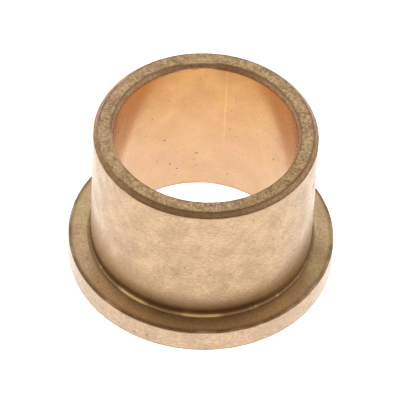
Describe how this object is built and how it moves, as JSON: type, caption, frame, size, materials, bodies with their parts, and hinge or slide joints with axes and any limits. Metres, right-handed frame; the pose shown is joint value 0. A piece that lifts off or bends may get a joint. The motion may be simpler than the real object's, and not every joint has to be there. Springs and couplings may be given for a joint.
{
  "type": "flanged sleeve bushing",
  "caption": "One-piece bronze sleeve bushing: a thick-walled plain bearing with a smooth through bore, a round thrust flange at one end and a chamfered free end.",
  "frame": {"origin": "centre of the flange's underside, on the axis of the bore", "axes": "+Z along the bore, from the flange towards the sleeve's free end; the part is round about +Z, so +X and +Y are free"},
  "size_m": [0.066, 0.066, 0.0435],
  "materials": {
    "bronze": "turned cast bronze, satin, with a dull brown patina on the end face and fine pores"
  },
  "bodies": {
    "root": {"flanged_sleeve_bushing": "bronze"}
  },
  "joints": []
}
